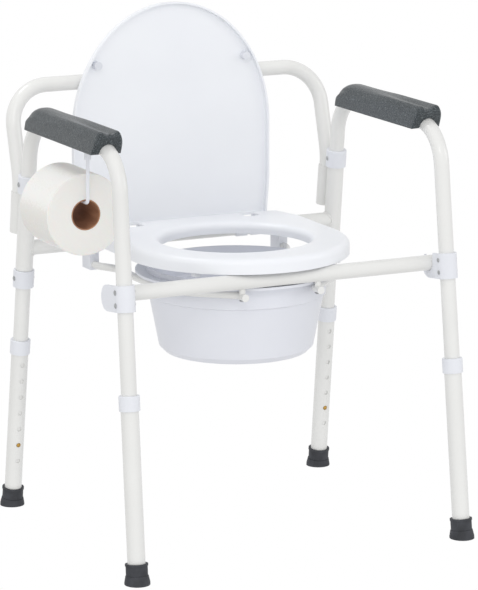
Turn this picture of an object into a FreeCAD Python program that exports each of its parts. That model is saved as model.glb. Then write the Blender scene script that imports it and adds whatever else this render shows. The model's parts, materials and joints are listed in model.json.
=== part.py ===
"""Commode chair: tubular steel frame, height-adjustable legs, hinged seat and lid, bucket and roll holder.

Millimetres. +X is to the sitter's left when seen from behind the chair, the front faces -Y and +Z is up.
The origin is on the floor, on the middle plane, half way between the front and rear feet.
Left-hand pieces are modelled, and the right-hand ones are their mirror images.
"""
import FreeCAD, Part
import math
import os
import re

from FreeCAD import Placement, Rotation, Vector

DOC = FreeCAD.newDocument("commode_chair")
SHEET = DOC.addObject("Spreadsheet::Sheet", "Sizes")

SIZES = {
    # steel tube
    "frame_tube": 22.2, "tube_wall": 1.3, "leg_tube": 25.4, "leg_bore": 22.4,
    # stance: half distances between feet at the floor, and the leans of the legs and side frames
    "foot_half_width": 259.5, "foot_half_depth": 227, "side_lean": 0.66, "front_lean": 6.6, "rear_lean": 7.5,
    "arm_height": 596, "arm_bend": 62, "inner_leg_end": 62,
    # leg extensions, measured along the leg from the floor
    "extension_start": 8, "extension_end": 261, "hole_pitch": 25.4, "hole_count": 7, "button_height": 100.1,
    "hole_across": 6.9, "button_across": 6.3, "button_proud": 1.9,
    "collar_start": 243, "collar_end": 264.5, "collar_across": 29.8,
    "tip_across": 31, "tip_base_across": 36.4, "tip_tall": 29,
    # hinge of each side frame on the rear frame, measured along the rear leg
    "sleeve_start": 374, "sleeve_end": 491.4, "pivot_collar_across": 30.8, "pivot_collar_tall": 26,
    "hinge_gap": 0.4, "socket_offset": 29, "socket_start": 423, "socket_end": 485,
    # cross tubes
    "rear_bar_y": 174, "rear_bar_z": 403, "front_bar_y": -152, "front_bar_z": 396.5, "front_bar_half": 246.5,
    # back tube
    "back_top_y": 228.5, "back_top_z": 634, "back_bend": 58, "back_kink_z": 500,
    # front brackets
    "bracket_tall": 37, "bracket_wall": 3.5, "bracket_rivet_gap": 18,
    # bucket and its rails
    "bucket_y": -10, "bucket_rim": 147, "bucket_top": 131, "bucket_bottom": 113, "bucket_floor_z": 265,
    "bucket_rim_z": 384.5, "bucket_collar_z": 391.4, "bucket_wall": 2.4,
    "rail_rod": 11, "rail_z": 374.5, "rail_front_x": 60,
    "rail_side_x": 139.5, "rail_rear_x": 156, "clamp_wide": 14, "clamp_across": 33, "pivot_bore": 22.4,
    # seat
    "seat_half_width": 164, "seat_centre_y": -12, "seat_rear_half": 150, "seat_rear_y": 158, "seat_low": 408.5,
    "seat_tall": 21.5, "seat_hole_half_width": 111, "seat_hole_half_depth": 107, "seat_hole_y": -8,
    "seat_clip_x": 121, "seat_clip_wide": 20, "clip_across": 30,
    # lid, in its closed position
    "lid_half_width": 162, "lid_centre_y": 19, "lid_rear_half": 158, "lid_rear_y": 162,
    "lid_front_deep": 190, "lid_low": 434,
    "lid_tall": 11, "lid_clip_x": 95, "lid_clip_wide": 18, "moulding_wall": 3,
    # armrests
    "pad_half_width": 23, "pad_top_half": 14, "pad_front_y": -138, "pad_rear_y": 124,
    # roll and holder
    "roll_across": 119, "roll_long": 100, "roll_front_y": -48, "roll_z": 490.8, "core_across": 44, "core_bore": 41,
    "holder_rod": 5, "holder_y": -54, "eye_across": 10,
}


def fill_sheet():
    for row, (alias, value) in enumerate(SIZES.items(), start=1):
        SHEET.set(f"A{row}", alias)
        SHEET.set(f"B{row}", str(value))
        SHEET.setAlias(f"B{row}", alias)
    DOC.recompute()


fill_sheet()
NODES = []


def size(alias):
    """A driving dimension read back from the sheet."""
    return float(getattr(SHEET, alias))


def bind(thing, prop, text):
    """Bind a property to a formula in which each alias of the sheet may appear by its bare name."""
    formula = re.sub(r"[a-z][a-z_]+", lambda m: f"Sizes.{m[0]}" if m[0] in SIZES else m[0], str(text))
    thing.setExpression(prop, formula)


def keep(thing, label):
    """Give a finished sub-part its node name."""
    thing.Label = label
    NODES.append(thing)
    return thing


def other_side(thing):
    """The same piece on the other side of the middle plane."""
    twin = DOC.addObject("Part::Mirroring", "Mirror")
    twin.Source = thing
    twin.Normal = (1, 0, 0)
    return twin


def both_sides(thing, name):
    """Keep a left-hand piece and make its right-hand twin; name holds SIDE where the side is written."""
    keep(thing, name.replace("SIDE", "left"))
    keep(other_side(thing), name.replace("SIDE", "right"))


def cylinder(across, length, at=(0, 0, 0), along="z"):
    """A bound cylinder that starts at a point and runs along one axis."""
    thing = DOC.addObject("Part::Cylinder", "Cylinder")
    turn = {"z": Rotation(), "x": Rotation(Vector(0, 1, 0), 90), "y": Rotation(Vector(1, 0, 0), -90)}[along]
    thing.Placement = Placement(Vector(), turn)
    bind(thing, "Radius", f"({across}) / 2")
    bind(thing, "Height", length)
    move(thing, at)
    return thing


def box(long_x, long_y, long_z, at=(0, 0, 0)):
    """A bound box whose lowest corner is at a point."""
    thing = DOC.addObject("Part::Box", "Box")
    bind(thing, "Length", long_x)
    bind(thing, "Width", long_y)
    bind(thing, "Height", long_z)
    move(thing, at)
    return thing


def move(thing, at):
    for axis, text in zip("xyz", at):
        bind(thing, f"Placement.Base.{axis}", text)


def cut(base, *tools):
    for tool in tools:
        result = DOC.addObject("Part::Cut", "Cut")
        result.Base = base
        result.Tool = tool
        base = result
    return base


def fuse(*things):
    result = DOC.addObject("Part::MultiFuse", "Fuse")
    result.Shapes = list(things)
    result.Refine = True
    return result


def common(*things):
    result = DOC.addObject("Part::MultiCommon", "Common")
    result.Shapes = list(things)
    return result


def group(*things):
    """Separate solids that share a node."""
    result = DOC.addObject("Part::Compound", "Group")
    result.Links = list(things)
    return result


def shaped(shape, placement=None):
    """A sub-part whose shape is worked out here from the sheet's values."""
    thing = DOC.addObject("Part::Feature", "Shape")
    thing.Shape = shape
    if placement:
        thing.Placement = placement.multiply(thing.Placement)
    return thing


def place(thing, placement):
    """Set a piece in a frame of reference; one whose own position is bound is wrapped, so that it stays bound."""
    if thing.ExpressionEngine:
        thing = group(thing)
    thing.Placement = placement.multiply(thing.Placement)
    return thing


# ---- frames of reference ------------------------------------------------------------------------------------


def side_frame_place():
    """The left side frame's plane, which leans in at the top."""
    return Placement(Vector(-size("foot_half_width"), 0, 0), Rotation(Vector(0, 1, 0), size("side_lean")))


def leg_place(which):
    """A left leg's own frame: origin at the floor, z up the leg, x inboard and y to the rear."""
    lean = {"front": -size("front_lean"), "rear": size("rear_lean")}[which]
    foot = {"front": -size("foot_half_depth"), "rear": size("foot_half_depth")}[which]
    return side_frame_place().multiply(Placement(Vector(0, foot, 0), Rotation(Vector(1, 0, 0), lean)))


def leg_y(which, height):
    """Where a leg's axis is, front to rear, at a height in the side frame's plane."""
    if which == "front":
        return -size("foot_half_depth") + height * math.tan(math.radians(size("front_lean")))
    return size("foot_half_depth") - height * math.tan(math.radians(size("rear_lean")))


def bent_path(points, radius):
    """A wire of straight runs through the points, with an arc of one radius, or one each, at every bend."""
    points = [Vector(*p) for p in points]
    radii = radius if isinstance(radius, list) else [radius] * (len(points) - 2)
    edges, start = [], points[0]
    for before, corner, after, r in zip(points, points[1:], points[2:], radii):
        inward, outward = (before - corner).normalize(), (after - corner).normalize()
        half = inward.getAngle(outward) / 2
        run_in, run_out = corner + inward * (r / math.tan(half)), corner + outward * (r / math.tan(half))
        middle = (inward + outward).normalize()
        top = corner + middle * (r / math.sin(half) - r)
        edges += [Part.LineSegment(start, run_in).toShape(), Part.Arc(run_in, top, run_out).toShape()]
        start = run_out
    edges.append(Part.LineSegment(start, points[-1]).toShape())
    return Part.Wire(edges)


def rod_shape(path, across):
    """A solid round bar along a wire."""
    first = path.Edges[0]
    start = first.valueAt(first.FirstParameter)
    heading = first.tangentAt(first.FirstParameter)
    ring = Part.Wire(Part.makeCircle(across / 2, start, heading))
    return path.makePipeShell([ring], True, False)


def tube_shape(path, across, wall):
    return rod_shape(path, across).cut(rod_shape(path, across - 2 * wall))


# ---- rear frame ---------------------------------------------------------------------------------------------


def rear_frame():
    sleeve = cut(
        cylinder("leg_tube", "sleeve_end - sleeve_start", (0, 0, "sleeve_start")),
        cylinder("leg_bore", "sleeve_end - sleeve_start", (0, 0, "sleeve_start")),
    )
    place(sleeve, leg_place("rear"))
    both_sides(sleeve, "SIDE_hinge_sleeve")

    bar = cut(
        cylinder("frame_tube", "2 * foot_half_width", ("-foot_half_width", "rear_bar_y", "rear_bar_z"), "x"),
        cylinder("frame_tube - 2 * tube_wall", "2 * foot_half_width",
                 ("-foot_half_width", "rear_bar_y", "rear_bar_z"), "x"),
    )
    left_leg = place(cylinder("leg_tube", "sleeve_end + 100"), leg_place("rear"))
    right_leg = other_side(left_leg)
    outside = [box(60, 80, 80, (x, "rear_bar_y - 40", "rear_bar_z - 40"))
               for x in ("-foot_half_width - 55", "foot_half_width - 5")]
    keep(cut(bar, left_leg, right_leg, *outside), "rear_crossbar")


def socket_place():
    """The left socket's frame: behind the rear leg, leaning as the leg does but not inward."""
    middle = (size("socket_start") + size("socket_end")) / 2
    on_leg = leg_place("rear").multVec(Vector(0, size("socket_offset"), middle))
    lean = Rotation(Vector(1, 0, 0), size("rear_lean"))
    return Placement(on_leg - lean.multVec(Vector(0, 0, middle)), lean)


def back_sockets():
    tall = "socket_end - socket_start"
    web = place(box(3, "socket_offset", "socket_end - socket_start - 24", (-1.5, 0, "socket_start + 12")),
                leg_place("rear"))
    sleeve = place(cylinder("leg_tube", "sleeve_end", (0, 0, 0)), leg_place("rear"))
    bore = place(cylinder("leg_bore", tall, (0, 0, "socket_start")), socket_place())
    tube = place(cylinder("leg_tube", tall, (0, 0, "socket_start")), socket_place())
    both_sides(cut(fuse(tube, web), sleeve, bore, back_button_hole()), "SIDE_back_socket")


BACK_BUTTON = "(socket_start + socket_end) / 2"


def back_button_hole():
    return place(cylinder("hole_across", 30, (0, 0, BACK_BUTTON), "y"), socket_place())


def back_tube():
    """One tube: up out of both sockets, a kink to the rear, and a round corner at each end of the top rail."""
    foot = socket_place().multVec(Vector(0, 0, size("socket_start") + 4))
    kink_y = foot.y - (size("back_kink_z") - foot.z) * math.tan(math.radians(size("rear_lean")))
    left = [(foot.x, foot.y, foot.z), (foot.x, kink_y, size("back_kink_z")),
            (foot.x, size("back_top_y"), size("back_top_z"))]
    right = [(-x, y, z) for x, y, z in reversed(left)]
    kink, corner = 90, size("back_bend")
    path = bent_path(left + right, [kink, corner, corner, kink])
    shape = tube_shape(path, size("frame_tube"), size("tube_wall"))
    hole = back_button_hole()
    keep(cut(shaped(shape), hole, other_side(hole)), "back_tube")


def screw(shank, long, head, head_tall, at, along, turn=0):
    """A screw or rivet with a domed head; along is the direction in which the shank runs from the head."""
    ball = DOC.addObject("Part::Sphere", "Head")
    ball.Radius = (head ** 2 / 4 + head_tall ** 2) / (2 * head_tall)
    move(ball, (0, 0, ball.Radius.Value - head_tall))
    dome = common(ball, cylinder(head, head_tall, (0, 0, f"-{head_tall}")))
    body = fuse(dome, cylinder(shank, long))
    aim = Rotation(Vector(0, 0, 1), Vector(*along))
    body.Placement = Placement(Vector(*at), aim)
    return body


# ---- side frames --------------------------------------------------------------------------------------------


def side_path():
    """The side frame's centre line in its own plane, from the rear leg's lower end over the arm to the front."""
    end, arm = size("inner_leg_end"), size("arm_height")
    rear, front = math.radians(size("rear_lean")), math.radians(size("front_lean"))
    return bent_path([
        (0, leg_y("rear", end * math.cos(rear)), end * math.cos(rear)),
        (0, leg_y("rear", arm), arm),
        (0, leg_y("front", arm), arm),
        (0, leg_y("front", end * math.cos(front)), end * math.cos(front)),
    ], size("arm_bend"))


def button_side(which):
    """+1 where the snap button looks to the rear, as on the front legs, and -1 where it looks forward."""
    return {"front": 1, "rear": -1}[which]


def cross_holes(across, heights, which=None):
    """Drills across a leg: right through along x, or from the axis out of the side its snap button is on."""
    if which is None:
        return [cylinder(across, 60, (-30, 0, z), "x") for z in heights]
    start = {1: 0, -1: -30}[button_side(which)]
    return [cylinder(across, 30, (0, start, z), "y") for z in heights]


def pivot_heights():
    """Heights along the rear leg of the rivets that hold its two pivot collars."""
    return ["sleeve_start - hinge_gap - pivot_collar_tall / 2", "sleeve_end + hinge_gap + pivot_collar_tall / 2"]


def bracket_height():
    return size("front_bar_z") / math.cos(math.radians(size("front_lean")))


def bracket_rivet_heights():
    return [bracket_height() + s * size("bracket_rivet_gap") / 2 for s in (-1, 1)]


RIVET_HOLE = 5
RIVET_SHANK = 4.9


def side_tubes():
    frame = place(shaped(tube_shape(side_path(), size("frame_tube"), size("tube_wall"))), side_frame_place())
    holes = [place(hole, leg_place("front"))
             for hole in cross_holes("hole_across", ["button_height"], "front")
             + cross_holes(RIVET_HOLE, bracket_rivet_heights())]
    holes += [place(hole, leg_place("rear"))
              for hole in cross_holes("hole_across", ["button_height"], "rear")
              + cross_holes(RIVET_HOLE, pivot_heights())]
    holes += arm_screw_holes()
    both_sides(cut(frame, fuse(*holes)), "SIDE_side_frame")


def pivot_collars():
    starts = {"lower": "sleeve_start - hinge_gap - pivot_collar_tall", "upper": "sleeve_end + hinge_gap"}
    for name, rivet in zip(("lower", "upper"), pivot_heights()):
        ring = cut(
            rounded_ring("pivot_collar_across", "pivot_collar_tall", starts[name]),
            cylinder("frame_tube", "pivot_collar_tall", (0, 0, starts[name])),
            *cross_holes(RIVET_HOLE, [rivet]),
        )
        both_sides(place(ring, leg_place("rear")), f"SIDE_{name}_pivot_collar")


def rounded_ring(across, tall, start):
    """A plastic collar's outer form, with its two rims rounded off."""
    ring = cylinder(across, tall, (0, 0, start))
    DOC.recompute()
    soft = DOC.addObject("Part::Fillet", "Fillet")
    soft.Base = ring
    soft.Edges = [(1, 1.2, 1.2), (3, 1.2, 1.2)]
    return soft


def rivets():
    """Domed rivets right through the leg: two in the front bracket and one in each pivot collar."""
    def pair(which, height, half):
        head = screw(RIVET_SHANK, 2 * half, 8, 1.6, (-half, 0, height), (1, 0, 0))
        tail = screw(RIVET_SHANK, 3, 7, 1.4, (half, 0, height), (-1, 0, 0))
        return place(fuse(head, tail), leg_place(which))

    half_bracket = size("frame_tube") / 2 + size("bracket_wall")
    half_collar = size("pivot_collar_across") / 2
    heights = [size("sleeve_start") - size("hinge_gap") - size("pivot_collar_tall") / 2,
               size("sleeve_end") + size("hinge_gap") + size("pivot_collar_tall") / 2]
    both_sides(group(*[pair("front", z, half_bracket) for z in bracket_rivet_heights()],
                     *[pair("rear", z, half_collar) for z in heights]), "SIDE_rivets")


def front_brackets():
    """A strap round the front leg whose two ears run back: the inner one is a saddle that holds the front bar."""
    half = "frame_tube / 2 + bracket_wall"
    reach = leg_y("front", size("front_bar_z"))
    behind = (size("front_bar_y") - reach) * math.cos(math.radians(size("front_lean")))
    low = bracket_height() - size("bracket_tall") / 2
    strap = fuse(
        cylinder(f"2 * ({half})", "bracket_tall", (0, 0, low)),
        box(f"2 * ({half})", behind, "bracket_tall", (f"-({half})", 0, low)),
        cylinder("bracket_tall", f"2 * ({half})", (f"-({half})", behind, bracket_height()), "x"),
    )
    gap = box("frame_tube", behind + 40, "bracket_tall", ("-frame_tube / 2", 0, low))
    bore = cylinder("frame_tube", "bracket_tall", (0, 0, low))
    shell = place(cut(strap, gap, bore, *cross_holes(RIVET_HOLE, bracket_rivet_heights())), leg_place("front"))
    room = size("frame_tube") + 1.2
    inner = -size("front_bar_half") - 1
    saddle = cylinder(room, 40, (inner, "front_bar_y", "front_bar_z"), "x")
    way_out = box(40, room, 40, (inner, f"front_bar_y - {room / 2}", "front_bar_z"))
    both_sides(cut(shell, saddle, way_out), "SIDE_front_bracket")


# ---- leg extensions -----------------------------------------------------------------------------------------


def legs():
    for which in ("front", "rear"):
        at = leg_place(which)
        name = f"{which}_SIDE_leg"
        heights = [f"button_height + hole_pitch * ({5 - i})" for i in range(int(size("hole_count")))]
        tall = "extension_end - extension_start"
        tube = cut(
            cylinder("leg_tube", tall, (0, 0, "extension_start")),
            cylinder("leg_bore", tall, (0, 0, "extension_start")),
            *cross_holes("hole_across", heights, which),
        )
        both_sides(place(tube, at), f"{name}_extension")
        collar = cut(
            rounded_ring("collar_across", "collar_end - collar_start", "collar_start"),
            cylinder("leg_tube", "extension_end - collar_start", (0, 0, "collar_start")),
            cylinder("leg_bore", "collar_end - collar_start", (0, 0, "collar_start")),
        )
        both_sides(place(collar, at), f"{name}_collar")
        both_sides(rubber_tip(at), f"{name}_tip")
        way = button_side(which)
        both_sides(place(snap_button(way, size("button_height")), at), f"{name}_button")
        both_sides(place(button_spring(way, size("button_height")), at), f"{name}_button_spring")
    middle = (size("socket_start") + size("socket_end")) / 2
    both_sides(place(snap_button(1, middle), socket_place()), "SIDE_back_button")
    both_sides(place(button_spring(1, middle), socket_place()), "SIDE_back_button_spring")


def rubber_tip(at):
    """A stepped rubber cup over the leg's end, ground flat where it stands on the floor."""
    below = 12
    foot = DOC.addObject("Part::Cone", "Foot")
    bind(foot, "Radius1", "tip_base_across / 2")
    bind(foot, "Radius2", "tip_across / 2 + 0.8")
    foot.Height = 9
    cup = cut(
        fuse(cylinder("tip_base_across", 3 + below, (0, 0, -below)),
             place(foot, Placement(Vector(0, 0, 3), Rotation())),
             cylinder("tip_across", "tip_tall", (0, 0, 0)),
             cylinder("tip_across + 1.6", 3, (0, 0, "tip_tall - 3"))),
        cylinder("leg_tube", "tip_tall", (0, 0, "extension_start")),
    )
    floor = box(200, 200, 100, ("-foot_half_width - 100", f"{at.Base.y} - 100", -100))
    return cut(place(cup, at), floor)


def snap_button(way, height):
    """A domed pin with a flange that stays inside the tube; way is +1 where it looks back and -1 forward."""
    seat = size("frame_tube") / 2 - size("tube_wall") - 2.2
    top = size("leg_tube") / 2 + size("button_proud")
    flange = cylinder(7.6, 1.2, (0, 0, seat))
    pin = cylinder("button_across", top - seat - 3, (0, 0, seat))
    ball = DOC.addObject("Part::Sphere", "Dome")
    bind(ball, "Radius", "button_across / 2 + 0.5")
    move(ball, (0, 0, f"{top} - button_across / 2 - 0.5"))
    dome = common(ball, cylinder("button_across", 10, (0, 0, top - 3.2)))
    whole = fuse(flange, pin, dome)
    whole.Placement = Placement(Vector(0, 0, height), Rotation(Vector(0, 0, 1), Vector(0, way, 0)))
    return whole


def button_spring(way, height):
    """A hairpin of flat spring steel that pushes the button out from the far wall of the tube."""
    strip, wide = 0.6, 5
    near = size("frame_tube") / 2 - size("tube_wall") - 2.3
    far = -(size("frame_tube") / 2 - size("tube_wall") - 0.5)
    outer = [(near, -5), (near, 5), (0.8, 30), (-0.8, 30), (far, 5), (far, -5)]
    inner = [(far + strip, -5), (far + strip, 5), (0, 27), (near - strip, 5), (near - strip, -5)]
    corners = [Vector(-wide / 2, y * way, z + height) for y, z in outer + inner]
    face = Part.Face(Part.makePolygon(corners + corners[:1]))
    return shaped(face.extrude(Vector(wide, 0, 0)))


# ---- armrests -----------------------------------------------------------------------------------------------


def armrests():
    """A moulded pad that sits over the arm tube, with sides that flare and a front end that arches over the bend."""
    arm, rear, front = size("arm_height"), size("pad_rear_y"), size("pad_front_y")
    low, top = -8, 26.5
    points = [Vector(-40, y, arm + z) for y, z in (
        (rear, low), (rear - 3, 8), (rear - 32, top), (front + 9, top), (front, top - 8), (front + 20, low))]
    rear_round = Part.Arc(points[1], Vector(-40, rear - 11, arm + 20.5), points[2]).toShape()
    lines = [Part.LineSegment(a, b).toShape() for a, b in zip(points[2:], points[3:] + points[:1])]
    outline = Part.Wire([Part.LineSegment(points[0], points[1]).toShape(), rear_round] + lines)
    side_view = shaped(Part.Face(outline).extrude(Vector(80, 0, 0)))
    wide, narrow = size("pad_half_width"), size("pad_top_half")
    section = [(-wide, low), (-wide + 3.5, 13), (-narrow, top), (narrow, top), (wide - 3.5, 13), (wide, low)]
    ring = [Vector(x, front - 20, arm + z) for x, z in section]
    section_view = shaped(Part.Face(Part.makePolygon(ring + ring[:1])).extrude(Vector(0, rear - front + 40, 0)))
    pad = common(side_view, section_view)
    tube_room = shaped(rod_shape(side_path(), size("frame_tube")))
    channel = box("frame_tube", 180, 30, ("-frame_tube / 2", -95, "arm_height - 30"))
    body = place(cut(pad, tube_room, channel), side_frame_place())
    both_sides(cut(body, *arm_screw_holes()), "SIDE_armrest")


ARM_SCREW_PLACES = (-28, 62)


def arm_screw_holes():
    return [place(cylinder(4.2, 33, (0, y, "arm_height - frame_tube / 2 - 2")), side_frame_place())
            for y in ARM_SCREW_PLACES]


def arm_screws():
    """Screws up through the arm tube into the armrest."""
    under = size("arm_height") - size("frame_tube") / 2
    both_sides(group(*[place(screw(4, 30, 8, 1.8, (0, y, under), (0, 0, 1)), side_frame_place())
                       for y in ARM_SCREW_PLACES]), "SIDE_armrest_screws")


# ---- seat frame ---------------------------------------------------------------------------------------------


def round_pivot(wide, across, x):
    """A plastic ring that turns on the rear crossbar, centred on x."""
    at = (f"{x} - ({wide}) / 2", "rear_bar_y", "rear_bar_z")
    return cylinder(across, wide, at, "x")


def pivot_room(wide, x):
    return cylinder("pivot_bore", f"({wide}) + 2", (f"{x} - ({wide}) / 2 - 1", "rear_bar_y", "rear_bar_z"), "x")


def clip_mouth(wide, x):
    """The open underside of a clip, level with the bottom of the rear crossbar."""
    corner = (f"{x} - {wide} / 2 - 1", "rear_bar_y - 20", "rear_bar_z - frame_tube / 2 - 11.8")
    return box(f"{wide} + 2", 65, 12, corner)


def front_bar():
    start = ("1.5 - front_bar_half", "front_bar_y", "front_bar_z")
    long = "2 * front_bar_half - 3"
    screw_holes = [cylinder(5.2, 40, (x, "front_bar_y", "rail_z"))
                   for x in ("-rail_front_x", "rail_front_x")]
    keep(cut(cylinder("frame_tube", long, start, "x"),
             cylinder("frame_tube - 2 * tube_wall", long, start, "x"), *screw_holes), "front_crossbar")
    plug = fuse(
        cylinder("frame_tube", 1.5, ("-front_bar_half", "front_bar_y", "front_bar_z"), "x"),
        cylinder("frame_tube - 2 * tube_wall", 12, ("-front_bar_half", "front_bar_y", "front_bar_z"), "x"),
    )
    keep(group(plug, other_side(plug)), "crossbar_end_plugs")


def rail_path():
    z, front, side, rear = (size(a) for a in ("rail_z", "rail_front_x", "rail_side_x", "rail_rear_x"))
    return bent_path([(-front, -163, z), (-front, -141, z), (-side, -70, z), (-side, 104, z),
                      (-rear, 134, z), (-rear, 158, z)], [14, 100, 40, 30])


def bucket_rails():
    rod = shaped(rod_shape(rail_path(), size("rail_rod")))
    post = cylinder("rail_rod - 2", "front_bar_z - rail_z - 2", ("-rail_front_x", "front_bar_y", "rail_z + 2"))
    bar = cylinder("frame_tube", 200, (-200, "front_bar_y", "front_bar_z"), "x")
    hole = cylinder(5.2, 60, ("-rail_front_x", "front_bar_y", "rail_z - 30"))
    both_sides(cut(fuse(rod, post), bar, hole), "SIDE_bucket_rail")
    screws = [screw(5, 34, 9, 2, (x, size("front_bar_y"), size("rail_z") - size("rail_rod") / 2), (0, 0, 1))
              for x in (-size("rail_front_x"), size("rail_front_x"))]
    keep(group(*screws), "rail_screws")
    x = "-rail_rear_x"
    lug = box("clamp_wide", 29, 37, (f"{x} - clamp_wide / 2", "rear_bar_y - 28", "rear_bar_z - 36.5"))
    clamp = cut(fuse(round_pivot("clamp_wide", "clamp_across", x), lug), pivot_room("clamp_wide", x),
                shaped(rod_shape(rail_path(), size("rail_rod"))))
    keep(group(clamp, other_side(clamp)), "rail_pivot_clamps")


# ---- moulded pieces -----------------------------------------------------------------------------------------


def sketched(body, plane, edges):
    """A closed sketch on one of the body's own origin planes."""
    sketch = body.newObject("Sketcher::SketchObject", "Profile")
    sketch.AttachmentSupport = next(f for f in body.Origin.OriginFeatures if f.Role == plane)
    sketch.MapMode = "FlatFace"
    for edge in edges:
        sketch.addGeometry(edge, False)
    return sketch


def outline_edges(half, centre_y, rear_half, rear_y, front_deep, inset=0):
    """A round or egg-shaped front, straight sides and a tapered rear edge."""
    half, rear_half, rear_y, front_deep = half - inset, rear_half - inset, rear_y - inset, front_deep - inset
    corners = [Vector(half, centre_y), Vector(half, rear_y - 55), Vector(rear_half, rear_y),
               Vector(-rear_half, rear_y), Vector(-half, rear_y - 55), Vector(-half, centre_y)]
    if front_deep > half:
        egg = Part.Ellipse(Vector(0, centre_y - front_deep), Vector(half, centre_y), Vector(0, centre_y))
        front = Part.ArcOfEllipse(egg, -math.pi / 2, math.pi / 2)
    else:
        front = Part.Arc(corners[-1], Vector(0, centre_y - half), corners[0])
    return [front] + [Part.LineSegment(a, b) for a, b in zip(corners, corners[1:])]


def slab(edges, low, tall, soft=0):
    """A padded outline, with its upper edge rounded where soft is set."""
    body = DOC.addObject("PartDesign::Body", "Body")
    pad = body.newObject("PartDesign::Pad", "Pad")
    pad.Profile = sketched(body, "XY_Plane", edges)
    bind(pad, "Length", tall)
    bind(body, "Placement.Base.z", low)
    DOC.recompute()
    if soft:
        top = pad.Shape.BoundBox.ZMax
        names = [f"Edge{i + 1}" for i, e in enumerate(pad.Shape.Edges) if e.BoundBox.ZMin > top - 0.01]
        fillet = body.newObject("PartDesign::Fillet", "Fillet")
        fillet.Base = (pad, names)
        fillet.Radius = soft
        DOC.recompute()
    return body


def oval(half_width, half_depth, at_y):
    """An ellipse; its long axis lies across when it is wider than deep."""
    return [Part.Ellipse(Vector(half_width, at_y), Vector(0, at_y + half_depth), Vector(0, at_y))]


def seat():
    args = [size(a) for a in ("seat_half_width", "seat_centre_y", "seat_rear_half", "seat_rear_y", "seat_half_width")]
    hole = [size(a) for a in ("seat_hole_half_width", "seat_hole_half_depth", "seat_hole_y")]
    wall = size("moulding_wall")
    solid = slab(outline_edges(*args) + oval(*hole), "seat_low", "seat_tall", 9)
    inside = slab(outline_edges(*args, inset=wall), "seat_low - 1", "seat_tall - moulding_wall + 1", 6)
    inner_rim = slab(oval(hole[0] + 6, hole[1] + 6, hole[2]), "seat_low", "seat_tall")
    below_rim = slab(oval(hole[0] + 7, hole[1] + 7, hole[2]), "seat_low - 1", 6)
    shell = cut(solid, cut(inside, inner_rim), below_rim)
    lugs, arms, clips, notches = [], [], [], []
    for side in ("-", ""):
        x = f"{side}seat_clip_x"
        arms.append(box("seat_clip_wide", 28, 9.5, (f"{x} - seat_clip_wide / 2", "rear_bar_y - 28", "seat_low")))
        clips.append(cut(fuse(round_pivot("seat_clip_wide", "clip_across", x), arms[-1]),
                         pivot_room("seat_clip_wide", x), clip_mouth("seat_clip_wide", x)))
        lugs.append(box(8, 14, 27, (f"{side}112 - 4", -115, 401)))
        notches.append(box(24, 49, 60, (f"{side}lid_clip_x - 12", "rear_bar_y - 48.5", "seat_low - 10")))
    keep(cut(fuse(shell, *lugs), *arms, *notches), "seat")
    keep(group(*clips), "seat_hinge_clips")
    bumpers = [cylinder(12, "seat_low + seat_tall - moulding_wall - front_bar_z - frame_tube / 2 - 0.4",
                        (x, -142, "front_bar_z + frame_tube / 2 + 0.4")) for x in (-72, 72)]
    keep(group(*bumpers), "seat_bumpers")


def lid():
    """Modelled shut, then turned up about the rear crossbar to stand open."""
    args = [size(a) for a in ("lid_half_width", "lid_centre_y", "lid_rear_half", "lid_rear_y", "lid_front_deep")]
    wall = size("moulding_wall")
    solid = slab(outline_edges(*args), "lid_low", "lid_tall", 4)
    inside = slab(outline_edges(*args, inset=wall), "lid_low - 1", "lid_tall - moulding_wall + 1", 2)
    clips, rooms, mouths = [], [], []
    for side in ("-", ""):
        x = f"{side}lid_clip_x"
        clips.append(round_pivot("lid_clip_wide", "clip_across", x))
        clips.append(box("lid_clip_wide", 26, "lid_low + lid_tall - rear_bar_z - 1",
                         (f"{x} - lid_clip_wide / 2", "rear_bar_y - 13", "rear_bar_z")))
        rooms.append(pivot_room("lid_clip_wide", x))
        mouths.append(clip_mouth("lid_clip_wide", x))
    opened = Placement(Vector(), Rotation(Vector(1, 0, 0), -90), Vector(0, size("rear_bar_y"), size("rear_bar_z")))
    turned_up = place(cut(fuse(cut(solid, inside), *clips), *rooms), opened)
    keep(cut(turned_up, *mouths), "lid")
    gap = "lid_low + lid_tall - moulding_wall - seat_low - seat_tall - 0.3"
    bumpers = [cylinder(12, gap, (x, -83, "seat_low + seat_tall + 0.3")) for x in (-122, 122)]
    keep(place(group(*bumpers), opened), "lid_bumpers")


def bucket():
    """A tapered pail with a broad flat rim that rests on the rails, and a collar above the rim."""
    rim, top, bottom, wall, floor, rim_z, collar_z = (size("bucket_" + a) for a in (
        "rim", "top", "bottom", "wall", "floor_z", "rim_z", "collar_z"))
    points = [(0, floor), (bottom - 8, floor), (bottom, floor + 8), (top - 3.5, rim_z - 36), (top, rim_z - 34),
              (top, rim_z - 3.7), (rim, rim_z - 3.7), (rim, rim_z), (top, rim_z), (top, collar_z),
              (top - wall, collar_z), (top - wall, rim_z - 32), (top - 3.5 - wall, rim_z - 35),
              (bottom - wall, floor + 9),
              (bottom - 9, floor + wall), (0, floor + wall)]
    corners = [Vector(x, z) for x, z in points]
    body = DOC.addObject("PartDesign::Body", "Body")
    turned = body.newObject("PartDesign::Revolution", "Revolution")
    turned.Profile = sketched(body, "XZ_Plane",
                              [Part.LineSegment(a, b) for a, b in zip(corners, corners[1:] + corners[:1])])
    turned.ReferenceAxis = (next(f for f in body.Origin.OriginFeatures if f.Role == "Z_Axis"), [""])
    turned.Angle = 360
    bind(body, "Placement.Base.y", "bucket_y")
    keep(body, "bucket")


# ---- roll and holder ----------------------------------------------------------------------------------------


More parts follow.
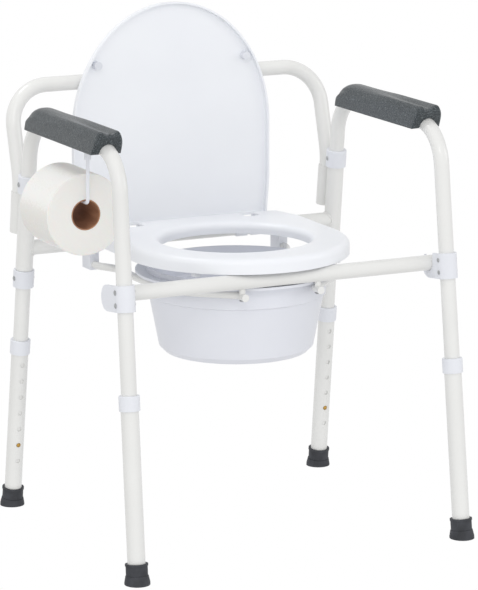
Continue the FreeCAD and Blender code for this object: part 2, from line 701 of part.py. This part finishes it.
def roll_and_holder():
    """The paper hangs on a wire that drops from an eye under the left arm and runs back through the core."""
    at = side_frame_place()
    top, y = size("arm_height") - 13, size("holder_y")
    low = size("roll_z") + size("core_bore") / 2 - size("holder_rod") / 2 - 0.3
    end = size("roll_front_y") + size("roll_long") + 9
    path = bent_path([(0, y, top), (0, y, low), (0, end, low), (0, end + 5, low + 11)], [5, 6])
    keep(place(shaped(rod_shape(path, size("holder_rod"))), at), "roll_holder_wire")
    eye = cut(cylinder("eye_across", 20, (0, "holder_y", "arm_height - 25")),
              cylinder("holder_rod + 0.2", 13, (0, "holder_y", "arm_height - 26")),
              cylinder("frame_tube", 60, (0, "holder_y - 30", "arm_height"), "y"))
    keep(place(eye, at), "roll_holder_eye")
    for name, outer, bore in (("roll_core", "core_across", "core_bore"), ("paper_roll", "roll_across", "core_across")):
        ring = cut(cylinder(outer, "roll_long", (0, "roll_front_y", "roll_z"), "y"),
                   cylinder(bore, "roll_long", (0, "roll_front_y", "roll_z"), "y"))
        keep(place(ring, at), name)


def check_and_export():
    DOC.recompute()
    failed = [thing.Name for thing in DOC.Objects if {"Invalid", "Error"} & set(thing.State)]
    bad = [node.Label for node in NODES if node.Shape.isNull() or not node.Shape.isValid()]
    if failed or bad:
        raise RuntimeError(f"failed objects {failed}, bad shapes {bad}")
    os.makedirs("parts", exist_ok=True)
    for node in NODES:
        node.Shape.exportStep(f"parts/{node.Label}.step")
        print(f"{node.Label}: {len(node.Shape.Solids)} solids, {node.Shape.Volume / 1000:.2f} cm3")


rear_frame()
back_sockets()
back_tube()
side_tubes()
pivot_collars()
rivets()
front_brackets()
legs()
armrests()
arm_screws()
front_bar()
bucket_rails()
seat()
lid()
bucket()
roll_and_holder()
check_and_export()
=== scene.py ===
"""Looks of a commode chair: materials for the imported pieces, and finer arm pads and paper roll."""
import json
import math

import bmesh
import bpy
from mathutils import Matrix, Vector


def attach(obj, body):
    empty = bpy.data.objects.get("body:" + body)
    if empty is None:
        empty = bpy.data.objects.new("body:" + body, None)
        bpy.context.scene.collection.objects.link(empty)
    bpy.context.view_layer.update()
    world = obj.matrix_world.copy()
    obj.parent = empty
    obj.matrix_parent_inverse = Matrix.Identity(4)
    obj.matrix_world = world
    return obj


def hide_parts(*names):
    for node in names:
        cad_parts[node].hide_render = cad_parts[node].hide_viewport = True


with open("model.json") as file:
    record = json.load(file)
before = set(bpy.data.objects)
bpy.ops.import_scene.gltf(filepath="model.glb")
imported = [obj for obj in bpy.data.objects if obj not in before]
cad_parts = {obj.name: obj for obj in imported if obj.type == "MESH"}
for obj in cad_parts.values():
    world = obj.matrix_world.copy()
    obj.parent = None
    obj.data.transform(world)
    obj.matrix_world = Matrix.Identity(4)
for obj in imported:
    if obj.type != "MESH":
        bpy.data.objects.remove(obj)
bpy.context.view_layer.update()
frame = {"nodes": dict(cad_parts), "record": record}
NODES = frame["nodes"]

# ---- materials -----------------------------------------------------------------------------------


def srgb(*rgb):
    """A colour as it is seen, made linear."""
    return [((c / 255 + 0.055) / 1.055) ** 2.4 if c > 10 else c / 255 / 12.92 for c in rgb] + [1.0]


class Shader:
    """A principled material and a few of the node chains that feed it."""

    def __init__(self, name, **sockets):
        self.mat = bpy.data.materials.new(name)
        self.mat.use_nodes = True
        self.tree = self.mat.node_tree
        self.main = self.tree.nodes["Principled BSDF"]
        for key, value in sockets.items():
            self.main.inputs[key.replace("_", " ")].default_value = value
        self.coords = self.tree.nodes.new("ShaderNodeTexCoord").outputs["Object"]
        self.height = None

    def link(self, a, b):
        self.tree.links.new(a, b)

    def noise(self, scale, detail=3.0, stretch=None):
        node = self.tree.nodes.new("ShaderNodeTexNoise")
        node.inputs["Scale"].default_value = scale
        node.inputs["Detail"].default_value = detail
        source = self.coords
        if stretch:
            mapping = self.tree.nodes.new("ShaderNodeMapping")
            mapping.inputs["Scale"].default_value = stretch
            self.link(self.coords, mapping.inputs["Vector"])
            source = mapping.outputs["Vector"]
        self.link(source, node.inputs["Vector"])
        return node.outputs["Fac"]

    def cells(self, scale):
        node = self.tree.nodes.new("ShaderNodeTexVoronoi")
        node.inputs["Scale"].default_value = scale
        self.link(self.coords, node.inputs["Vector"])
        return node.outputs["Distance"]

    def ramp(self, factor, stops):
        node = self.tree.nodes.new("ShaderNodeValToRGB")
        ramp = node.color_ramp
        while len(ramp.elements) < len(stops):
            ramp.elements.new(0.5)
        for element, (at, colour) in zip(ramp.elements, stops):
            element.position = at
            element.color = colour
        self.link(factor, node.inputs["Fac"])
        return node.outputs["Color"]

    def colour(self, factor, stops):
        self.link(self.ramp(factor, stops), self.main.inputs["Base Color"])
        return self

    def rough(self, factor, low, high):
        node = self.tree.nodes.new("ShaderNodeMapRange")
        node.inputs["To Min"].default_value = low
        node.inputs["To Max"].default_value = high
        self.link(factor, node.inputs["Value"])
        self.link(node.outputs["Result"], self.main.inputs["Roughness"])
        return self

    def bump(self, height, strength, distance):
        node = self.tree.nodes.new("ShaderNodeBump")
        node.inputs["Strength"].default_value = strength
        node.inputs["Distance"].default_value = distance
        self.link(height, node.inputs["Height"])
        if self.height:
            self.link(self.height, node.inputs["Normal"])
        self.height = node.outputs["Normal"]
        self.link(self.height, self.main.inputs["Normal"])
        return self


def painted_steel():
    """White powder coat: slight orange peel, a clear gloss and a faint haze."""
    s = Shader("white_powder_coat", IOR=1.5, Coat_Weight=0.6, Coat_Roughness=0.06)
    s.colour(s.noise(9), [(0.3, srgb(227, 227, 225)), (0.7, srgb(232, 232, 230))])
    s.rough(s.noise(35, 5), 0.26, 0.38)
    s.bump(s.noise(260, 2), 0.25, 0.0003).bump(s.noise(1400, 2), 0.12, 0.0002)
    return s.mat


def moulding(name, low, high, rough, grain, haze=0.05):
    """White injection-moulded plastic with a fine spark grain; haze is how much its gloss varies."""
    s = Shader(name, IOR=1.48, Subsurface_Weight=0.08, Subsurface_Scale=0.004)
    s.main.inputs["Subsurface Radius"].default_value = (1.0, 0.95, 1.0)
    s.colour(s.noise(6), [(0.3, srgb(*low)), (0.7, srgb(*high))])
    s.rough(s.noise(60, 4), rough - haze, rough + haze)
    s.bump(s.noise(1800, 2), grain, 0.0002).bump(s.noise(420, 2), 0.12, 0.0002)
    return s.mat


def dark_pad():
    """Dark grey self-skinned foam: a speckled skin with leathery pores and a soft gloss."""
    s = Shader("grey_arm_skin", IOR=1.46, Coat_Weight=0.22, Coat_Roughness=0.22)
    s.colour(s.noise(620, 5),
             [(0.36, srgb(30, 37, 41)), (0.54, srgb(54, 62, 66)), (0.68, srgb(106, 113, 117))])
    s.rough(s.noise(240, 4), 0.24, 0.42)
    s.bump(s.cells(520), 0.6, 0.0005).bump(s.noise(1100, 3), 0.35, 0.0003)
    return s.mat


def rubber(name, low, high):
    s = Shader(name, IOR=1.5)
    s.colour(s.noise(60, 4), [(0.3, srgb(*low)), (0.7, srgb(*high))])
    s.rough(s.noise(150, 4), 0.5, 0.72)
    s.bump(s.noise(900, 3), 0.3, 0.0003)
    return s.mat


def metal(name, low, high, rough):
    s = Shader(name, Metallic=1.0)
    s.colour(s.noise(400, 3), [(0.3, srgb(*low)), (0.7, srgb(*high))])
    s.rough(s.noise(700, 3), rough - 0.08, rough + 0.1)
    s.bump(s.noise(1600, 2), 0.15, 0.0002)
    return s.mat


def tissue(centre):
    """Soft white tissue: quilted on the wound face and finely layered on the two ends."""
    s = Shader("tissue_paper", Roughness=0.95, Sheen_Weight=0.25,
               Subsurface_Weight=0.15, Subsurface_Scale=0.003)
    mapping = s.tree.nodes.new("ShaderNodeMapping")
    mapping.inputs["Location"].default_value = [-c for c in centre]
    s.link(s.coords, mapping.inputs["Vector"])
    rings = s.tree.nodes.new("ShaderNodeTexWave")
    rings.wave_type = "RINGS"
    rings.rings_direction = "Y"
    rings.inputs["Scale"].default_value = 260
    rings.inputs["Distortion"].default_value = 2.2
    rings.inputs["Detail Scale"].default_value = 1.5
    s.link(mapping.outputs["Vector"], rings.inputs["Vector"])
    s.colour(rings.outputs["Fac"], [(0.1, srgb(231, 229, 224)), (0.8, srgb(241, 240, 237))])
    s.bump(rings.outputs["Fac"], 0.2, 0.0003)
    s.bump(s.cells(170), 0.25, 0.0006)
    s.bump(s.noise(1200, 4), 0.3, 0.0003)
    return s.mat


def card():
    s = Shader("brown_card", Roughness=0.85)
    s.colour(s.noise(90, 6, (1, 0.25, 1)), [(0.3, srgb(146, 102, 76)), (0.7, srgb(188, 140, 108))])
    s.bump(s.noise(700, 4), 0.35, 0.0003)
    return s.mat


def paint(node, material):
    mesh = NODES[node].data
    mesh.materials.clear()
    mesh.materials.append(material)


# ---- meshes --------------------------------------------------------------------------------------


def new_mesh(name, rings, material, body, caps=True):
    """A piece skinned over rings of points."""
    bm = bmesh.new()
    rows = [[bm.verts.new(p) for p in ring] for ring in rings]
    count = len(rows[0])
    for a, b in zip(rows, rows[1:]):
        for i in range(count):
            j = (i + 1) % count
            bm.faces.new((a[i], a[j], b[j], b[i]))
    if caps:
        bm.faces.new(rows[0][::-1])
        bm.faces.new(rows[-1])
    bmesh.ops.recalc_face_normals(bm, faces=bm.faces)
    mesh = bpy.data.meshes.new(name)
    bm.to_mesh(mesh)
    bm.free()
    for face in mesh.polygons:
        face.use_smooth = True
    mesh.materials.append(material)
    piece = bpy.data.objects.new(name, mesh)
    bpy.context.scene.collection.objects.link(piece)
    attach(piece, body)
    return piece


def close_seam(piece):
    """Joins the first and last rings of a piece that goes all the way round."""
    bm = bmesh.new()
    bm.from_mesh(piece.data)
    bmesh.ops.remove_doubles(bm, verts=bm.verts, dist=1e-7)
    bm.to_mesh(piece.data)
    bm.free()


def smooth_step(x):
    x = min(max(x, 0.0), 1.0)
    return x * x * (3 - 2 * x)


def blended(a, b, c, d, t):
    """The Catmull-Rom curve between b and c, as t goes from 0 to 1."""
    return 0.5 * (2 * b + (c - a) * t + (2 * a - 5 * b + 4 * c - d) * t * t
                  + (3 * b - a - 3 * c + d) * t ** 3)


def through(points, steps):
    """Points along a smooth curve through the given ones."""
    ends = [points[0]] + points + [points[-1]]
    line = []
    for four in zip(ends, ends[1:], ends[2:], ends[3:]):
        for k in range(steps):
            line.append(tuple(blended(*values, k / steps) for values in zip(*four)))
    return line + [points[-1]]


# A side frame, in metres in its own plane: it leans in by LEAN, and its arm is level over ARM_RUN.
LEAN = math.radians(0.66)
REAR_LEG_LEAN = math.radians(7.5)
FOOT_HALF = 0.2595
TUBE_RADIUS = 0.0111
ARM_HEIGHT = 0.596
ARM_BEND = 0.062
ARM_RUN = (-0.103, 0.094)

# An arm pad: places along the arm, and heights over the arm tube's centre line.
PAD_FRONT, PAD_REAR = -0.138, 0.124
PAD_LOW, PAD_TALL, PAD_TOP, PAD_HALF = -0.008, 0.034, 0.0262, 0.0228
LIP_SETBACK, FACE_BLEND = 0.020, 0.05
NOSE_ROUND, REAR_ROUND, EDGE_ROUND = 0.014, 0.036, 0.003
CHANNEL_HALF, OVER_TUBE = 0.0116, 0.0003


def on_side(x, y, z, side):
    """A point of a side frame's own plane, which leans in at the top, put in the chair's frame."""
    sign = -1 if side == "left" else 1
    across = FOOT_HALF - x * math.cos(LEAN) - z * math.sin(LEAN)
    return Vector((sign * across, y, z * math.cos(LEAN) - x * math.sin(LEAN)))


def arc_height(y, radius):
    """Height over the level run of an arc of that radius about the arm tube's two bends."""
    past = max(ARM_RUN[0] - y, y - ARM_RUN[1], 0.0)
    return math.sqrt(radius ** 2 - min(past, 0.9 * ARM_BEND) ** 2) - ARM_BEND


def leaned(y, z):
    """How far back a point of a pad lies: the front face leans forward over its lower lips."""
    near_front = smooth_step((PAD_FRONT + FACE_BLEND - y) / FACE_BLEND)
    return y + LIP_SETBACK * near_front * (1 - (z - PAD_LOW) / PAD_TALL)


def pad_section(y, inset):
    """One cut across an arm pad: shoulders and a dished crown outside, a round-topped channel inside."""
    wide, low = PAD_HALF - inset, PAD_LOW + 0.3 * inset
    dish = 0.0048 * smooth_step((0.02 - y) / 0.12)
    crown = 0.0008 * smooth_step((y + 0.02) / 0.06)
    slump = 0.0034 * smooth_step((y + 0.03) / 0.09)
    fall = min(max((y - PAD_REAR + REAR_ROUND) / REAR_ROUND, 0.0), 1.0)
    rear_low = 0.006
    top = rear_low + (PAD_TOP - rear_low) * math.sqrt(max(1 - fall ** 2.3, 0.0)) - inset
    top -= 0.0045 * smooth_step((PAD_FRONT + NOSE_ROUND - y) / NOSE_ROUND) ** 2
    rise = top - low
    side = [(wide, low), (wide - 0.0008, low + 0.30 * rise), (wide - 0.0022, low + 0.58 * rise),
            (wide - 0.0052, low + 0.83 * rise - slump), (wide - 0.0094, top - 0.0006 - 0.7 * slump)]
    middle = [(0.0068, top - 0.5 * dish + 0.2 * crown), (0, top - dish + crown)]
    outer = through([(-x, z) for x, z in side + middle] + list(reversed(side + middle[:1])), 5)
    tube_y = leaned(y, 0.005)
    springing = max(arc_height(tube_y, ARM_BEND), low)
    crest = max(arc_height(tube_y, ARM_BEND + TUBE_RADIUS + OVER_TUBE), springing + 0.002)
    inner = [(CHANNEL_HALF, low)]
    for k in range(13):
        turn = math.pi * k / 12
        inner.append((CHANNEL_HALF * math.cos(turn), springing + (crest - springing) * math.sin(turn)))
    return outer + inner + [(-CHANNEL_HALF, low)]


def arm_pad(side, material):
    """A moulded pad over the arm tube, skinned over its cross-sections, with its end edges rounded."""
    quarter = [math.pi / 2 * k / 5 for k in range(6)]
    curve = [(EDGE_ROUND * (1 - math.cos(a)), EDGE_ROUND * (1 - math.sin(a))) for a in quarter]
    run, cuts = PAD_REAR - PAD_FRONT - 2 * EDGE_ROUND, 70
    stations = [(PAD_FRONT + along, inset) for along, inset in curve]
    stations += [(PAD_FRONT + EDGE_ROUND + run * k / cuts, 0.0) for k in range(1, cuts)]
    stations += [(PAD_REAR - along, inset) for along, inset in reversed(curve)]
    rings = [[on_side(x, leaned(y, z), ARM_HEIGHT + z, side) for x, z in pad_section(y, inset)]
             for y, inset in stations]
    piece = new_mesh(f"{side}_arm_pad", rings, material, f"{side}_side")
    for face in piece.data.polygons:
        is_end = len(face.vertices) > 4
        face.use_smooth = not is_end
    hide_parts(f"{side}_armrest")


def tissue_roll(material, centre):
    """Wound paper with soft edges; its ends are slightly uneven, as the layers slip."""
    bore, outer, half = 0.022, 0.0594, 0.05
    soft, crisp, spacing, around = 0.0022, 0.0006, 0.006, 144
    most_slip, out_of_round = 0.0009, 0.0005
    profile = []
    for quarter, (r, y, rounding) in enumerate((
            (outer - soft, half - soft, soft), (bore + crisp, half - crisp, crisp),
            (bore + crisp, -half + crisp, crisp), (outer - soft, -half + soft, soft))):
        for k in range(6):
            angle = math.pi / 2 * (k / 5 + quarter)
            profile.append((r + rounding * math.cos(angle), y + rounding * math.sin(angle)))
    fine = []
    for (r0, y0), (r1, y1) in zip(profile, profile[1:] + profile[:1]):
        steps = max(1, round(math.hypot(r1 - r0, y1 - y0) / spacing))
        fine += [(r0 + (r1 - r0) * k / steps, y0 + (y1 - y0) * k / steps) for k in range(steps)]
    rings = []
    for i in range(around + 1):
        turn = 2 * math.pi * (i % around) / around
        ring = []
        for r, y in fine:
            depth = (r - bore) / (outer - bore)
            slip = most_slip * depth * (1 - depth) * (1.3 + math.sin(2 * turn + 5 * depth))
            r -= depth * out_of_round * (1 + math.sin(3 * turn + 0.6))
            y -= math.copysign(slip, y)
            ring.append(centre + Vector((r * math.cos(turn), y, r * math.sin(turn))))
        rings.append(ring)
    piece = new_mesh("tissue", rings, material, "roll", caps=False)
    close_seam(piece)
    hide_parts("paper_roll")


def weld(side, material):
    """The bead where the rear crossbar meets a hinge sleeve."""
    sign = -1 if side == "left" else 1
    sleeve_x, sleeve_radius, bar_y, bar_z = 0.25486, 0.0127, 0.174, 0.403
    bead, ripple, ripples, around, across = 0.0016, 0.00025, 14, 72, 8
    rings = []
    for i in range(around + 1):
        turn = 2 * math.pi * (i % around) / around
        off = TUBE_RADIUS * math.cos(turn - REAR_LEG_LEAN)
        x = sleeve_x - math.sqrt(sleeve_radius ** 2 - off ** 2)
        size = bead + ripple * math.sin(ripples * turn)
        ring = []
        for k in range(across):
            spin = 2 * math.pi * k / across
            r = TUBE_RADIUS + size * math.sin(spin)
            ring.append(Vector((sign * (x - size * math.cos(spin)),
                                bar_y + r * math.cos(turn), bar_z + r * math.sin(turn))))
        rings.append(ring)
    piece = new_mesh(f"{side}_weld", rings, material, "rear_frame", caps=False)


# ---- the chair -----------------------------------------------------------------------------------

STEEL = painted_steel()
FITTING = moulding("white_fitting", (226, 228, 234), (231, 233, 239), 0.42, 0.3)
SEAT = moulding("white_seat", (238, 240, 245), (242, 244, 248), 0.3, 0.15)
PAIL = moulding("white_pail", (224, 226, 233), (229, 231, 238), 0.3, 0.06, 0.015)
PAD = dark_pad()
TIP = rubber("grey_rubber", (40, 42, 47), (60, 62, 68))
SOFT_WHITE = rubber("white_bumper", (218, 221, 228), (230, 232, 238))
ROLL_CENTRE = on_side(0, 0.002, 0.4908, "left")

LOOKS = {
    "painted_steel": STEEL, "fitting_white": FITTING, "seat_white": SEAT, "bucket_white": PAIL,
    "bumper_white": SOFT_WHITE, "armrest_grey": PAD, "rubber_grey": TIP,
    "brass": metal("brass", (176, 136, 70), (206, 168, 96), 0.3),
    "zinc": metal("zinc", (170, 172, 174), (202, 204, 205), 0.34),
    "spring_steel": metal("spring_steel", (120, 122, 126), (158, 160, 163), 0.35),
    "paper": tissue(ROLL_CENTRE), "cardboard": card(),
}
for part in frame["record"]["subparts"]:
    paint(part["node"], LOOKS[part["material_slot"]])

for hand in ("left", "right"):
    arm_pad(hand, PAD)
    weld(hand, STEEL)
tissue_roll(LOOKS["paper"], ROLL_CENTRE)

# ---- studio --------------------------------------------------------------------------------------


def area_light(name, place, aim, size, power):
    data = bpy.data.lights.new(name, "AREA")
    data.shape = "SQUARE"
    data.size = size
    data.energy = power
    lamp = bpy.data.objects.new(name, data)
    bpy.context.scene.collection.objects.link(lamp)
    lamp.location = place
    lamp.rotation_euler = (Vector(aim) - Vector(place)).to_track_quat("-Z", "Y").to_euler()


def view_direction():
    """From the chair towards the camera."""
    azimuth, elevation = math.radians(-26.2), math.radians(12.27)
    level = math.cos(elevation)
    return Vector((math.sin(azimuth) * level, -math.cos(azimuth) * level, math.sin(elevation)))


def studio():
    """Plain white behind, brighter from the camera's side than from the two sides, so that edges read."""
    world = bpy.data.worlds.new("studio")
    bpy.context.scene.world = world
    world.use_nodes = True
    nodes, links = world.node_tree.nodes, world.node_tree.links
    facing = nodes.new("ShaderNodeVectorMath")
    facing.operation = "DOT_PRODUCT"
    facing.inputs[1].default_value = view_direction()
    links.new(nodes.new("ShaderNodeTexCoord").outputs["Generated"], facing.inputs[0])
    share = nodes.new("ShaderNodeMapRange")
    share.inputs["From Min"].default_value = -1
    links.new(facing.outputs["Value"], share.inputs["Value"])
    ramp = nodes.new("ShaderNodeValToRGB")
    ramp.color_ramp.elements.new(0.5)
    for element, level in zip(ramp.color_ramp.elements, (0.74, 0.56, 1.0)):
        element.color = (level, level, level, 1)
    links.new(share.outputs["Result"], ramp.inputs["Fac"])
    around = nodes["Background"]
    around.inputs["Strength"].default_value = 1.16
    links.new(ramp.outputs["Color"], around.inputs["Color"])
    seen = nodes.new("ShaderNodeBackground")
    seen.inputs["Color"].default_value = (1, 1, 1, 1)
    mix = nodes.new("ShaderNodeMixShader")
    links.new(nodes.new("ShaderNodeLightPath").outputs["Is Camera Ray"], mix.inputs["Fac"])
    links.new(around.outputs["Background"], mix.inputs[1])
    links.new(seen.outputs["Background"], mix.inputs[2])
    links.new(mix.outputs["Shader"], nodes["World Output"].inputs["Surface"])
    area_light("key", (-1.2, -2.6, 2.4), (0, 0, 0.35), 0.9, 7)
    area_light("fill", (2.6, -1.4, 1.4), (0, 0, 0.4), 1.2, 9)
    area_light("top", (-0.7, 0.6, 2.3), (0, 0, 0.55), 0.5, 7)


def camera():
    target, distance = Vector((0.0096, 0.0, 0.3409)), 4.981
    data = bpy.data.cameras.new("camera")
    data.lens = 208
    data.clip_end = 60
    seen = bpy.data.objects.new("camera", data)
    bpy.context.scene.collection.objects.link(seen)
    seen.location = target + view_direction() * distance
    seen.rotation_euler = (-view_direction()).to_track_quat("-Z", "Y").to_euler()
    bpy.context.scene.camera = seen


studio()
camera()
bpy.context.scene.view_settings.view_transform = "Standard"

bpy.context.view_layer.update()
